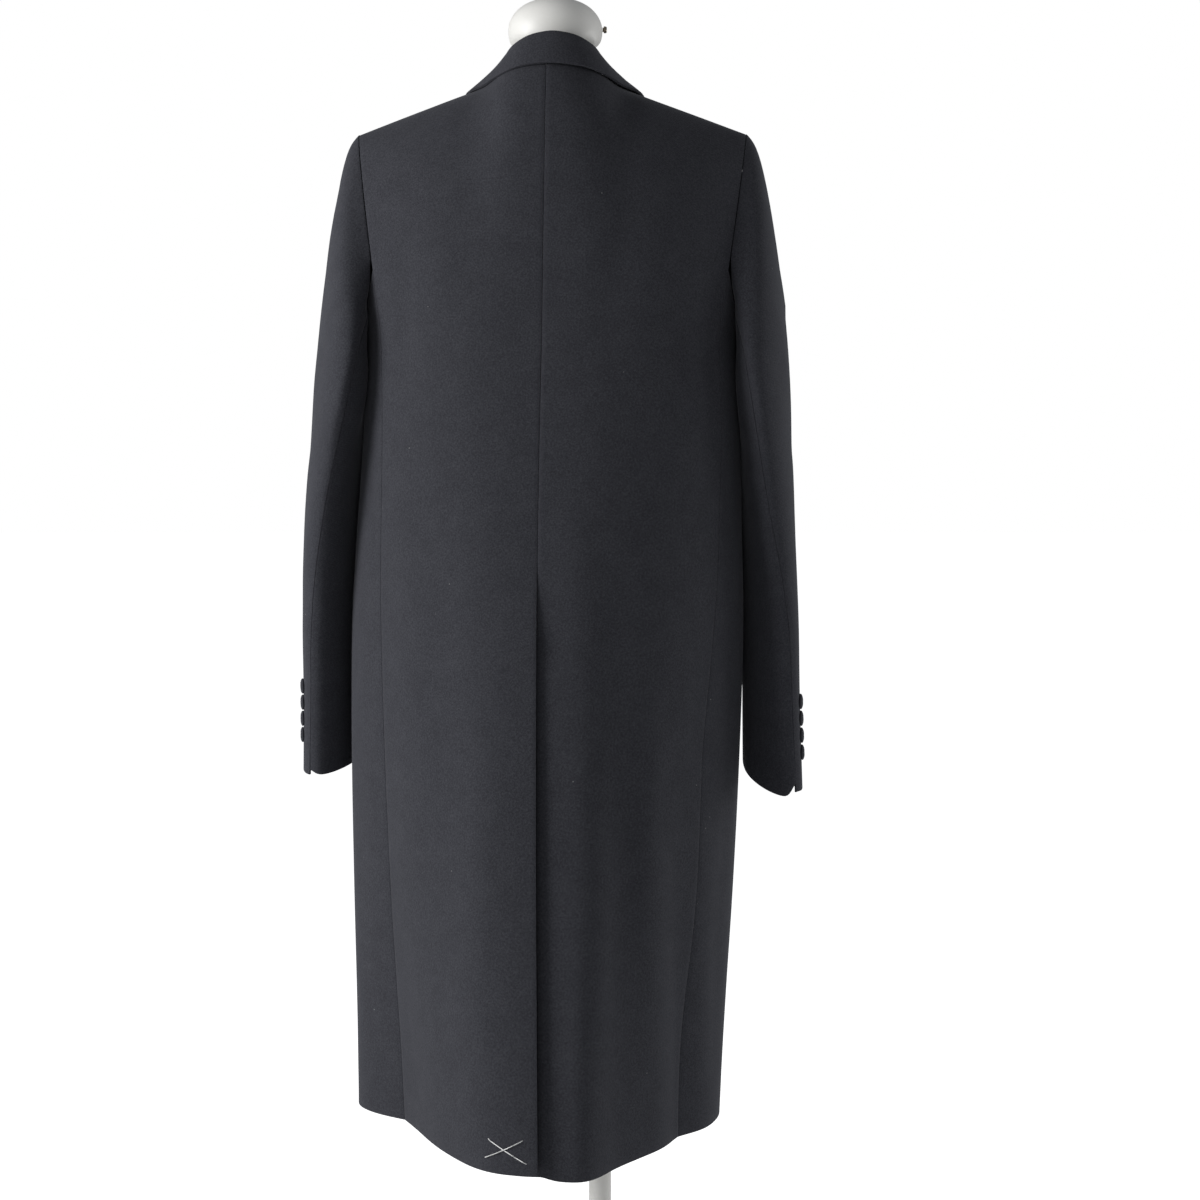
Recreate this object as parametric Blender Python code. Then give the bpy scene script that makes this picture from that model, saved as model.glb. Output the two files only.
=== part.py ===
# A long wool coat standing on a limbless dress form.
# Metres, +Z up. The origin is the middle of the foot plate's underside.
# The coat's front faces -Y and its back +Y, and +X is the wearer's left.

import math

import bmesh
import bpy
import numpy as np

# Cloth
wall = 0.0024
seam_gap = 0.0003
layer_gap = 0.0006
layer = wall + layer_gap

# Heights
chest_z = 1.170
vent_top_z = 0.885
break_z = 1.020
hem_z = {1: 0.3763, -1: 0.3676}

# Landmarks at the neck and the shoulders, by side: 1 is the wearer's left and -1 the right
front_x = 0.0550
front_overlap = 0.028
neck_back = np.array((0.0535, 0.068, 1.450))
neck_front = np.array((0.0510, -0.072, 1.375))
neck_point = {1: np.array((0.1130, 0.012, 1.429)), -1: np.array((-0.0130, 0.012, 1.429))}
shoulder_point = {1: np.array((0.2490, 0.000, 1.3805)), -1: np.array((-0.1512, 0.000, 1.3815))}

# The coat's body, a row for each level from the hem up to the chest: the centre back, then for
# each side the side back seam and the widest point, then the depth of the front. Fullness is the
# power of the back's curve from the centre to the seam, and lower is more pointed.
body_columns = ("z", "back_x", "back_y1", "back_y-1", "seam_x1", "seam_y1", "side_x1",
                "seam_x-1", "seam_y-1", "side_x-1", "front_y", "fullness")
body_rows = (
    (0.360, 0.0578, 0.222, 0.212, 0.1968, 0.062, 0.2507, -0.0806, 0.086, -0.1236, -0.166, 2.10),
    (0.460, 0.0588, 0.210, 0.201, 0.2020, 0.064, 0.2512, -0.0830, 0.085, -0.1282, -0.161, 2.20),
    (0.600, 0.0602, 0.191, 0.183, 0.2100, 0.068, 0.2542, -0.0948, 0.083, -0.1367, -0.156, 2.35),
    (0.740, 0.0610, 0.171, 0.165, 0.2160, 0.070, 0.2567, -0.1020, 0.080, -0.1437, -0.151, 2.50),
    (0.860, 0.0612, 0.155, 0.152, 0.2195, 0.070, 0.2569, -0.1130, 0.075, -0.1478, -0.147, 2.65),
    (0.920, 0.0610, 0.147, 0.147, 0.2205, 0.069, 0.2550, -0.1180, 0.073, -0.1482, -0.146, 2.75),
    (1.080, 0.0590, 0.130, 0.130, 0.2195, 0.065, 0.2450, -0.1225, 0.066, -0.1450, -0.143, 2.90),
    (1.170, 0.0570, 0.123, 0.123, 0.2215, 0.062, 0.2420, -0.1205, 0.062, -0.1420, -0.140, 3.00),
)

# Soft flutes of the skirt's back: how far across from the centre to the seam, the width on the
# same scale, the depth at the hem, and the height where each dies out.
flute_columns = ("side", "across", "width", "depth", "top_z")
flute_rows = (
    (1, 0.42, 0.20, 0.006, 0.90),
    (1, 0.90, 0.12, -0.006, 0.80),
    (-1, 0.34, 0.15, 0.012, 1.00),
    (-1, 0.78, 0.14, -0.006, 0.80),
)

front_power = 2.6
front_seam_turn = math.radians(18.0)
shoulder_power = 0.78
neck_share = {"back": 0.38, "front": 0.55}
lap_lift = {1: 2 * layer, -1: 0.0}
vent_lift = 0.0034
underlap_width = 0.038
underlap_hem_z = 0.3805
level_margin = 0.01
armhole_scoop = 0.057
armhole_foot_z = 1.236
roll_inset = 0.003
lap_fade = (0.03, 0.10)
search_steps = 24

# Rows of every body panel from the hem to the chest, and on to the shoulder
lower_rows = 16
upper_rows = 10
armhole_rows = 2
chest_level = lower_rows / (lower_rows + upper_rows)
back_columns_count = 11
side_columns_count = 7
front_columns_count = 10
lapel_size = (5, 11)
lapel_width = {1: 0.086, -1: 0.086}
lapel_start = {1: 1.022, -1: 1.100}
lap_margin = 0.004
gorge_z = (1.403, 1.383)
sewn_lift = -0.0001
lapel_lift = 0.0018
lapel_fade_z = (0.950, 1.403)
step_damping = 0.30
flap_lift = 0.0010

# The sleeves below the upper arm, a row for each level: the middle, the half width and half depth
# of the oval, and how far its back end turns outward.
sleeve_columns = ("z", "x", "y", "half_width", "half_depth", "turn")
sleeve_rows = {
    1: (
        (0.700, 0.2825, -0.060, 0.0250, 0.057, 19.0),
        (0.800, 0.2812, -0.046, 0.0255, 0.060, 15.0),
        (0.900, 0.2814, -0.030, 0.0262, 0.065, 10.0),
        (1.000, 0.2796, -0.014, 0.0268, 0.071, 0.0),
        (1.100, 0.2722, -0.004, 0.0262, 0.077, -9.0),
    ),
    -1: (
        (0.700, -0.1788, -0.012, 0.0250, 0.057, 20.0),
        (0.800, -0.1770, -0.012, 0.0250, 0.060, 16.0),
        (0.900, -0.1765, -0.010, 0.0260, 0.065, 10.0),
        (1.000, -0.1757, -0.006, 0.0268, 0.071, -3.0),
        (1.100, -0.1718, -0.002, 0.0262, 0.077, -10.0),
    ),
}
biceps_z = 1.100
cuff_z = {1: 0.7262, -1: 0.7162}
cuff_slant = {1: 0.20, -1: 0.30}
sleeve_levels = 19
biceps_level = 0.35
back_seam_turn = (118.0, 84.0)
sleeve_front_turn = 285.0
seam_half_turn = 0.40
sleeve_columns_count = {"top": 13, "under": 11}

# Cuff buttons: radius, thickness, spacing and the height of the lowest above the cuff
cuff_button_radius = 0.0078
cuff_button_thickness = 0.0038
cuff_button_pitch = 0.0168
cuff_button_first = 0.036
cuff_button_turn = 50.0
button_gap = 0.0004
button_profile = ((0.86, 0.0), (1.0, 0.35), (0.94, 0.72), (0.55, 1.0))
button_sides = 14

front_button_radius = 0.0115
front_button_thickness = 0.0045
front_button_heights = (0.975, 0.855, 0.735)

flap_top_z = 0.800
flap_depth = 0.058
flap_reach = (0.100, 0.232)
flap_shift = {1: 0.0, -1: 0.007}

# The collar, a row for each station from the centre back (0) to the front end: the neck seam, the
# fold and the outer edge, each as a reach from the neck's middle, a depth and a height.
neck_middle_x = 0.0475
collar_columns = ("seam_x", "seam_y", "seam_z", "fold_x", "fold_y", "fold_z", "edge_x", "edge_y", "edge_z")
collar_rows = (
    (0.000, 0.0620, 1.4530, 0.0000, 0.0700, 1.4752, 0.000, 0.0930, 1.4400),
    (0.026, 0.0590, 1.4510, 0.0210, 0.0670, 1.4722, 0.031, 0.0885, 1.4375),
    (0.043, 0.0470, 1.4460, 0.0380, 0.0560, 1.4640, 0.055, 0.0705, 1.4310),
    (0.050, 0.0290, 1.4400, 0.0455, 0.0400, 1.4560, 0.073, 0.0430, 1.4250),
    (0.053, 0.0100, 1.4360, 0.0500, 0.0180, 1.4500, 0.088, 0.0130, 1.4250),
    (0.054, -0.0120, 1.4330, 0.0540, -0.0060, 1.4430, 0.096, -0.0150, 1.4197),
    (0.0535, -0.0380, 1.4235, 0.0565, -0.0380, 1.4310, 0.100, -0.0380, 1.4105),
    (0.0530, -0.0690, 1.4090, 0.0550, -0.0700, 1.4150, 0.101, -0.0590, 1.4018),
)
collar_wall = 0.0024
fold_radius = 0.0028

# The dress form under the coat
form_x = 0.0500
form_y = 0.004
form_clearance = 0.0004
neck_reach = 0.0615
# z, half width, half depth, y
form_rows = (
    (0.800, 0.1380, 0.0900, -0.004),
    (0.806, 0.1470, 0.0990, -0.004),
    (0.850, 0.1620, 0.1120, -0.004),
    (0.920, 0.1660, 0.1160, -0.002),
    (1.000, 0.1520, 0.1060, 0.000),
    (1.070, 0.1420, 0.0980, 0.000),
    (1.150, 0.1490, 0.1020, 0.000),
    (1.230, 0.1600, 0.1040, 0.001),
    (1.290, 0.1690, 0.0880, 0.002),
    (1.325, 0.1740, 0.0700, 0.002),
)
# z, half depth, y: the half width follows the shoulder seam
form_shoulder_rows = (
    (1.350, 0.0560, 0.001),
    (1.367, 0.0440, 0.001),
    (1.381, 0.0360, 0.001),
    (1.393, 0.0310, 0.001),
    (1.404, 0.0270, 0.003),
    (1.414, 0.0230, 0.007),
    (1.421, 0.0190, 0.0125),
)
form_neck_rows = (
    (1.4340, 0.0430, 0.0300, 0.008),
    (1.4500, 0.0350, 0.0360, 0.005),
    (1.4700, 0.0340, 0.0350, 0.005),
)
form_sides = 28
neck_x = 0.0463
stem_x = 0.0495
cap_rows = (
    (1.4703, 0.0400, 0.0380),
    (1.4760, 0.0470, 0.0445),
    (1.4900, 0.0485, 0.0455),
    (1.5000, 0.0452, 0.0425),
    (1.5080, 0.0390, 0.0368),
    (1.5150, 0.0285, 0.0270),
    (1.5190, 0.0150, 0.0142),
    (1.5200, 0.0050, 0.0048),
)
knob_profile = ((-0.0026, 0.0024), (-0.0038, 0.0024), (-0.0040, 0.0034), (-0.0060, 0.0034), (-0.0070, 0.0024))
knob_sides = 12
knob_z = 1.4885
pole_radius = 0.0115
pole_top = 0.7997
plate_radius = 0.175
plate_thickness = 0.014
plate_edge = 0.004
rest_gap = 0.0003


def lerp(low, high, share):
    return low + (high - low) * share


def unit(vector):
    return vector / max(np.linalg.norm(vector), 1e-12)


def smooth_step(low, high, value):
    share = min(max((value - low) / (high - low), 0.0), 1.0)
    return share * share * (3.0 - 2.0 * share)


def read_table(columns, rows, value, name):
    # A smooth curve through one column of a table, read at a value of its first column.
    keys = [row[0] for row in rows]
    column = [row[columns.index(name)] for row in rows]
    value = min(max(value, keys[0]), keys[-1])
    last = len(keys) - 1
    step = next(i for i in range(last) if value <= keys[i + 1])
    share = (value - keys[step]) / (keys[step + 1] - keys[step])
    low, high = column[step], column[step + 1]
    before, after = column[max(step - 1, 0)], column[min(step + 2, last)]
    rise = (high - before) / 2 if step > 0 else high - low
    fall = (after - low) / 2 if step + 2 <= last else high - low
    square, cube = share ** 2, share ** 3
    return ((2 * cube - 3 * square + 1) * low + (cube - 2 * square + share) * rise
            + (3 * square - 2 * cube) * high + (cube - square) * fall)


def body(name, z):
    return read_table(body_columns, body_rows, z, name)


def level_z(side, level):
    return lerp(hem_z[side], chest_z, level / chest_level)


def flutes(side, across, z):
    depth = 0.0
    for row in flute_rows:
        flute = dict(zip(flute_columns, row))
        if flute["side"] == side:
            height = 1.0 - smooth_step(hem_z[side], flute["top_z"], z)
            depth += flute["depth"] * height * math.exp(-((across - flute["across"]) / flute["width"]) ** 2)
    return depth


def back_section(side, across, z):
    # The back at a level up to the chest, from the centre (0) to the side back seam (1).
    seam_y = body(f"seam_y{side}", z)
    rise = 1.0 - abs(across) ** body("fullness", z)
    x = lerp(body("back_x", z), body(f"seam_x{side}", z), across)
    y = seam_y + (body(f"back_y{side}", z) - seam_y) * rise + flutes(side, across, z)
    if side > 0:
        open_below = 1.0 - smooth_step(vent_top_z, vent_top_z + 0.06, z)
        y += vent_lift * open_below * (1.0 - smooth_step(0.1, 0.6, across))
    return np.array((x, y, z))


def front_section(side, across, z):
    # The front at a level up to the chest, from the side front seam (0) to the centre (1) and past it.
    turn = lerp(front_seam_turn, math.pi / 2, across)
    power = 2.0 / front_power
    cosine, sine = math.cos(turn), math.sin(turn)
    half = body(f"side_x{side}", z) - front_x
    return np.array((front_x + half * math.copysign(abs(cosine) ** power, cosine),
                     body("front_y", z) * abs(sine) ** power, z))


def back_top(side, across):
    # The back's upper edge: half the neckline from the centre back, then the shoulder seam.
    share = neck_share["back"]
    if across >= share:
        return lerp(neck_point[side], shoulder_point[side], (across - share) / (1.0 - share))
    part = max(across, 0.0) / share
    round_off = math.sqrt(1.0 - part * part)
    neck = neck_point[side]
    return np.array((lerp(neck_back[0], neck[0], part), lerp(neck[1], neck_back[1], round_off),
                     lerp(neck[2], neck_back[2], round_off ** 2)))


def front_top(side, across):
    # The front's upper edge: the shoulder seam, then on to the middle of the neck.
    share = neck_share["front"]
    if across <= share:
        return lerp(shoulder_point[side], neck_point[side], across / share)
    part = min((across - share) / (1.0 - share), 1.0)
    neck = neck_point[side]
    return np.array((lerp(neck[0], neck_front[0], part),
                     lerp(neck[1], neck_front[1], math.sin(part * math.pi / 2)),
                     lerp(neck[2], neck_front[2], part ** 1.3)))


def over_shoulder(low, high, rise):
    # The quarter curve from a point at the chest up to one on the shoulder line.
    turn = rise * math.pi / 2
    share = math.sin(turn)
    depth = max(math.cos(turn), 0.0) ** shoulder_power
    return np.array((lerp(low[0], high[0], share), lerp(high[1], low[1], depth), lerp(low[2], high[2], share)))


def back_point(side, across, level):
    # Level runs from 0 at the hem through chest_level at the chest to 1 at the shoulder.
    if level <= chest_level:
        return back_section(side, across, level_z(side, level))
    rise = (level - chest_level) / (1.0 - chest_level)
    return over_shoulder(back_section(side, across, chest_z), back_top(side, across), rise)


def front_point(side, across, level):
    if level <= chest_level:
        return front_section(side, across, level_z(side, level))
    rise = (level - chest_level) / (1.0 - chest_level)
    return over_shoulder(front_section(side, across, chest_z), front_top(side, across), rise)


def flank_point(side, across, level):
    # The side panel, from the side back seam (0) round to the side front seam (1). Its top is scooped.
    back = back_point(side, 1.0, level)
    front = front_point(side, 0.0, level)
    over = max((back[2] - chest_z) / (armhole_foot_z - chest_z), 0.0)
    scoop = armhole_scoop * over * math.sin(across * math.pi)
    z = lerp(back[2], front[2], across) - scoop
    widest = np.array((body(f"side_x{side}", min(z, chest_z)), 0.0, z))
    if across < 0.5:
        part = across / 0.5
        bend = np.array((widest[0], back[1] * 0.5, z))
        point = (1 - part) ** 2 * back + 2 * part * (1 - part) * bend + part ** 2 * widest
    else:
        part = (across - 0.5) / 0.5
        bend = np.array((widest[0], front[1] * 0.5, z))
        point = (1 - part) ** 2 * widest + 2 * part * (1 - part) * bend + part ** 2 * front
    point[2] = z
    return point


def edge_x(side, z):
    # The front's edge: upright below the break, and up along the roll line to the neck above it.
    low = front_x - side * front_overlap
    high = neck_point[side][0] - side * roll_inset
    return lerp(low, high, max((z - break_z) / (neck_point[side][2] - break_z), 0.0))


def front_edge_share(side, level):
    # How far across the front's edge lies at a level.
    low, high = 0.0, 1.6
    for _ in range(search_steps):
        middle = (low + high) / 2
        point = front_point(side, middle, level)
        if (point[0] - edge_x(side, point[2])) * side > 0:
            low = middle
        else:
            high = middle
    return low


def front_panel_point(side, across, level):
    # The front panel, from the side front seam (0) to its own edge (1), the left one lifted over the right.
    point = front_point(side, across * front_edge_share(side, level), level)
    near = 1.0 - smooth_step(*lap_fade, abs(point[0] - front_x))
    return point + np.array((0.0, -lap_lift[side] * near, 0.0))


def outward(point):
    return np.array((point[0] - front_x, point[1], 0.15))


def normal_at(surface, across, level, facing, step=0.004):
    along = surface(across + step, level) - surface(across - step, level)
    rising = surface(across, min(level + step, 1.0)) - surface(across, max(level - step, 0.0))
    normal = unit(np.cross(along, rising))
    return normal if normal @ facing > 0 else -normal


def even_grid(surface, columns, levels, trim):
    # A panel's outer points and normals, each row walked at even steps and ending short of its seams by trim.
    fine = [k / 40 for k in range(41)]
    points = np.zeros((len(levels), columns, 3))
    normals = np.zeros((len(levels), columns, 3))
    for j, level in enumerate(levels):
        walk = np.array([surface(share, level) for share in fine])
        length = np.concatenate(([0.0], np.cumsum(np.linalg.norm(np.diff(walk, axis=0), axis=1))))
        stops = np.linspace(trim[0], length[-1] - trim[1], columns)
        for i, share in enumerate(np.interp(stops, length, fine)):
            points[j, i] = surface(share, level)
            normals[j, i] = normal_at(surface, share, level, outward(points[j, i]))
    return points, normals


def body_grids(side):
    # One side's back, side panel and front, whose normals agree along the seams between them.
    half = seam_gap / 2
    rows = lower_rows + upper_rows
    levels = [j / rows for j in range(rows + 1)]
    low_levels = levels[:lower_rows + armhole_rows + 1]
    trim = (half, half)
    back, back_n = even_grid(lambda a, v: back_point(side, a, v), back_columns_count, levels, trim)
    flank, flank_n = even_grid(lambda a, v: flank_point(side, a, v), side_columns_count, low_levels, trim)
    front, front_n = even_grid(lambda a, v: front_panel_point(side, a, v), front_columns_count, levels,
                               (half, 0.0))
    for j in range(len(low_levels)):
        back_n[j, -1] = flank_n[j, 0] = unit(back_n[j, -1] + flank_n[j, 0])
        front_n[j, 0] = flank_n[j, -1] = unit(front_n[j, 0] + flank_n[j, -1])
    back_n[:, 0, 0] = 0.0
    run = shoulder_point[side] - neck_point[side]
    ridge = unit(np.array((-run[2], 0.0, run[0]))) * side
    for i in range(back_columns_count):
        if i / (back_columns_count - 1) > neck_share["back"]:
            back_n[-1, i] = ridge
    front_n[-1, :] = ridge
    lower = seam_gap / 2 * np.array((0.0, 1.0, 0.0))
    back[-1, :] += lower
    front[-1, :] -= lower
    back_n /= np.linalg.norm(back_n, axis=2, keepdims=True)
    return {"back": (back, back_n), "side": (flank, flank_n), "front": (front, front_n)}


def new_object(name, points, faces, material):
    mesh = bpy.data.meshes.new(name)
    mesh.from_pydata([tuple(point) for point in points], [], faces)
    thing = bpy.data.objects.new(name, mesh)
    bpy.context.collection.objects.link(thing)
    mesh.materials.append(material)
    shape = bmesh.new()
    shape.from_mesh(mesh)
    bmesh.ops.recalc_face_normals(shape, faces=shape.faces)
    shape.to_mesh(mesh)
    shape.free()
    mesh.shade_smooth()
    mesh.set_sharp_from_angle(angle=math.radians(40.0))
    return thing


def cloth_wall(name, outer, normals, material, thickness=wall):
    # A closed wall: a grid of outer points, the same points moved in, and strips round the edge.
    rows, columns = outer.shape[:2]
    inner = outer - normals * thickness
    points = np.concatenate((outer.reshape(-1, 3), inner.reshape(-1, 3)))
    below = rows * columns
    faces = []
    for j in range(rows - 1):
        for i in range(columns - 1):
            a = j * columns + i
            quad = (a, a + 1, a + columns + 1, a + columns)
            faces.append(quad)
            faces.append(tuple(below + k for k in reversed(quad)))
    rim = [i for i in range(columns)]
    rim += [j * columns + columns - 1 for j in range(1, rows)]
    rim += [(rows - 1) * columns + i for i in range(columns - 2, -1, -1)]
    rim += [j * columns for j in range(rows - 2, 0, -1)]
    for a, b in zip(rim, rim[1:] + rim[:1]):
        faces.append((a, a + below, b + below, b))
    return new_object(name, points, faces, material)


def stack_of_rings(name, rings, material):
    # A solid whose sides run through rings of points, with flat ends.
    count = len(rings[0])
    points = [point for ring in rings for point in ring]
    faces = []
    for j in range(len(rings) - 1):
        for i in range(count):
            a, b = j * count + i, j * count + (i + 1) % count
            faces.append((a, b, b + count, a + count))
    faces.append(tuple(reversed(range(count))))
    faces.append(tuple(range((len(rings) - 1) * count, len(rings) * count)))
    return new_object(name, points, faces, material)


def oval_ring(x, y, z, half_width, half_depth, count, power=2.0):
    ring = []
    for k in range(count):
        turn = 2 * math.pi * k / count
        cosine, sine = math.cos(turn), math.sin(turn)
        ring.append((x + half_width * math.copysign(abs(cosine) ** (2 / power), cosine),
                     y + half_depth * math.copysign(abs(sine) ** (2 / power), sine), z))
    return ring


def make_underlap(material):
    # The right back goes on under the left one below the top of the vent.
    rows = [j / (lower_rows + upper_rows) for j in range(lower_rows + 1)]
    first, last = (chest_level * (z - hem_z[-1]) / (chest_z - hem_z[-1]) for z in (underlap_hem_z, vent_top_z))
    rows = [first] + [level for level in rows if first + level_margin < level < last - level_margin] + [last]

    def surface(across, level):
        z = level_z(-1, level)
        width = body(f"seam_x{-1}", z) - body("back_x", z)
        return back_section(-1, across * underlap_width / width, z)

    points, normals = even_grid(surface, 4, rows, (seam_gap / 2, 0.0))
    normals[:, 0, 0] = 0.0
    normals /= np.linalg.norm(normals, axis=2, keepdims=True)
    cloth_wall("vent_underlap", points, normals, material)


def lapel_surface(side):
    # A lapel lies on its front from the roll line outward, and is cut off along the gorge.
    def surface(across, up):
        top = lerp(gorge_z[0], gorge_z[1], across)
        z = lerp(lapel_start[side], top, up)
        low, high = 0.3, 1.0
        for _ in range(search_steps):
            level = (low + high) / 2
            share = front_edge_share(side, level)
            if front_point(side, share, level)[2] < z:
                low = level
            else:
                high = level
        share = front_edge_share(side, low)
        width = lapel_width[side] * smooth_step(*lapel_fade_z, z) ** 0.8
        hidden = max(edge_x(-1, z) - edge_x(1, z) + lap_margin, 0.0) if side < 0 else 0.0
        reach = lerp(min(hidden, width), width, across)
        start = front_point(side, share, low)
        width_share = share
        for _ in range(search_steps):
            step = reach - np.linalg.norm(front_point(side, width_share, low) - start)
            width_share -= step / step_damping
        point = front_point(side, width_share, low)
        near = 1.0 - smooth_step(*lap_fade, abs(point[0] - front_x))
        out = normal_at(lambda a, v: front_point(side, a, v), width_share, low, outward(point))
        lift = lerp(sewn_lift, lapel_lift, max(smooth_step(0.0, 0.25, across), smooth_step(0.1, 0.4, up)))
        return point + np.array((0.0, -lap_lift[side] * near, 0.0)) + out * (layer + lift)
    return surface


def make_lapel(side, material):
    surface = lapel_surface(side)
    columns, rows = lapel_size
    points = np.array([[surface(i / (columns - 1), j / (rows - 1)) for i in range(columns)]
                       for j in range(rows)])
    normals = grid_normals(points)
    cloth_wall("lapel_left" if side > 0 else "lapel_right", points, normals, material)


def grid_normals(points):
    rows, columns = points.shape[:2]
    normals = np.zeros_like(points)
    for j in range(rows):
        for i in range(columns):
            along = points[j, min(i + 1, columns - 1)] - points[j, max(i - 1, 0)]
            rising = points[min(j + 1, rows - 1), i] - points[max(j - 1, 0), i]
            normal = unit(np.cross(along, rising))
            normals[j, i] = normal if normal @ outward(points[j, i]) > 0 else -normal
    return normals


def armhole_point(side, turn):
    # The armhole, from the tip of the shoulder (0) down the back, under (180) and up the front.
    seam_level = chest_level + armhole_rows / (lower_rows + upper_rows)
    turn = turn % 360.0
    if turn <= 90.0:
        point = back_point(side, 1.0, lerp(1.0, seam_level, turn / 90.0))
    elif turn <= 270.0:
        point = flank_point(side, (turn - 90.0) / 180.0, seam_level)
    else:
        point = front_point(side, 0.0, lerp(seam_level, 1.0, (turn - 270.0) / 90.0))
    under = max(-math.cos(math.radians(turn)), 0.0)
    return point + np.array((side * lerp(2 * seam_gap, 4 * seam_gap, under), 0.0, 0.0))


def sleeve(name, side, z):
    return read_table(sleeve_columns, sleeve_rows[side], z, name)


def sleeve_ring_point(side, turn, z):
    angle = math.radians(turn)
    across = sleeve("half_width", side, z) * math.cos(angle)
    deep = sleeve("half_depth", side, z) * math.sin(angle)
    lean = math.radians(sleeve("turn", side, z))
    x = across * math.cos(lean) + deep * math.sin(lean)
    y = deep * math.cos(lean) - across * math.sin(lean)
    return np.array((sleeve("x", side, z) + side * x, sleeve("y", side, z) + y, z))


def sleeve_point(side, turn, level):
    # The sleeve, from the armhole (0) through the upper arm to the cuff (1).
    if level > biceps_level:
        part = (level - biceps_level) / (1.0 - biceps_level)
        z = lerp(biceps_z, cuff_z[side], part)
        point = sleeve_ring_point(side, turn, z)
        point[2] -= cuff_slant[side] * (point[1] - sleeve("y", side, z)) * part ** 2
        return point
    part = level / biceps_level
    start, end = armhole_point(side, turn), sleeve_ring_point(side, turn, biceps_z)
    top = max(math.cos(math.radians(turn)), 0.0)
    under = max(-math.cos(math.radians(turn)), 0.0)
    deep = math.sin(math.radians(turn))
    leave = unit(np.array((side * (0.25 + 0.70 * top - 0.17 * under), 0.12 * deep, -1.0 + 0.66 * top)))
    first = start + leave * lerp(0.050, 0.024, top)
    arrive = unit(sleeve_ring_point(side, turn, biceps_z - 0.02) - end)
    second = end - arrive * 0.11 * (0.35 + 0.65 * (start[2] - end[2]) / 0.28)
    return ((1 - part) ** 3 * start + 3 * part * (1 - part) ** 2 * first
            + 3 * part ** 2 * (1 - part) * second + part ** 3 * end)


def back_seam(level):
    return lerp(back_seam_turn[0], back_seam_turn[1], min(level / 0.75, 1.0))


def sleeve_normal(side, turn, level):
    around = sleeve_point(side, turn + 1.0, level) - sleeve_point(side, turn - 1.0, level)
    down = sleeve_point(side, turn, min(level + 0.01, 1.0)) - sleeve_point(side, turn, max(level - 0.01, 0.0))
    return unit(np.cross(around, down)) * -side


def make_sleeve(side, material):
    word = "left" if side > 0 else "right"
    for kind in ("top", "under"):
        columns = sleeve_columns_count[kind]
        points = np.zeros((sleeve_levels, columns, 3))
        normals = np.zeros((sleeve_levels, columns, 3))
        for j in range(sleeve_levels):
            level = j / (sleeve_levels - 1)
            if kind == "top":
                low, high = sleeve_front_turn - 360.0 + seam_half_turn, back_seam(level) - seam_half_turn
            else:
                low, high = back_seam(level) + seam_half_turn, sleeve_front_turn - seam_half_turn
            for i in range(columns):
                turn = lerp(low, high, i / (columns - 1))
                points[j, i] = sleeve_point(side, turn, level)
                normals[j, i] = sleeve_normal(side, turn, level)
        cloth_wall(f"sleeve_{kind}_{word}", points, normals, material)


def make_button(name, middle, facing, radius, thickness, material):
    # A domed covered button: a short turned solid whose back lies flat.
    across = unit(np.cross(facing, (0.0, 0.0, 1.0)))
    rise = unit(np.cross(facing, across))
    turns = [2 * math.pi * k / button_sides for k in range(button_sides)]
    rings = []
    for reach, height in button_profile:
        rings.append([middle + facing * thickness * height
                      + radius * reach * (across * math.cos(turn) + rise * math.sin(turn)) for turn in turns])
    stack_of_rings(name, rings, material)


def make_cuff_buttons(side, material):
    word = "left" if side > 0 else "right"
    for k in range(4):
        z = cuff_z[side] + cuff_button_first + k * cuff_button_pitch
        level = biceps_level + (1.0 - biceps_level) * (biceps_z - z) / (biceps_z - cuff_z[side])
        point = sleeve_point(side, cuff_button_turn, level)
        facing = sleeve_normal(side, cuff_button_turn, level)
        make_button(f"cuff_button_{word}_{k + 1}", point + facing * button_gap, facing,
                    cuff_button_radius, cuff_button_thickness, material)


def make_front_buttons(material):
    for k, z in enumerate(front_button_heights):
        level = chest_level * (z - hem_z[1]) / (chest_z - hem_z[1])
        share = 1.0 / front_edge_share(1, level)
        point = front_panel_point(1, share, level)
        facing = np.array((0.0, -1.0, 0.0))
        make_button(f"front_button_{k + 1}", point + facing * button_gap, facing,
                    front_button_radius, front_button_thickness, material)


def make_flap(side, material):
    # A straight pocket flap made from the front's own points, moved out.
    columns, rows = 10, 4
    points = np.zeros((rows, columns, 3))
    for j in range(rows):
        z = flap_top_z - flap_depth * j / (rows - 1)
        level = chest_level * (z - hem_z[side]) / (chest_z - hem_z[side])
        for i in range(columns):
            reach = front_x + side * (lerp(*flap_reach, i / (columns - 1)) - front_x) + flap_shift[side]
            low, high = 0.0, 1.0
            for _ in range(search_steps):
                middle = (low + high) / 2
                if (front_panel_point(side, middle, level)[0] - reach) * side > 0:
                    low = middle
                else:
                    high = middle
            point = front_panel_point(side, low, level)
            out = normal_at(lambda a, v: front_panel_point(side, a, v), low, level, outward(point))
            points[j, i] = point + out * (layer + lerp(sewn_lift, flap_lift, min(j, 1)))
    cloth_wall("pocket_flap_left" if side > 0 else "pocket_flap_right", points, grid_normals(points), material)


def collar_station(share, name):
    # A collar guide at a signed share: -1 and 1 are the front ends and 0 the centre back.
    place = abs(share) * (len(collar_rows) - 1)
    keyed = [(k,) + row for k, row in enumerate(collar_rows)]
    names = ("key",) + collar_columns
    x = read_table(names, keyed, place, name + "_x")
    y = read_table(names, keyed, place, name + "_y")
    z = read_table(names, keyed, place, name + "_z")
    return np.array((neck_middle_x + math.copysign(x, share), y, z))


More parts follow.
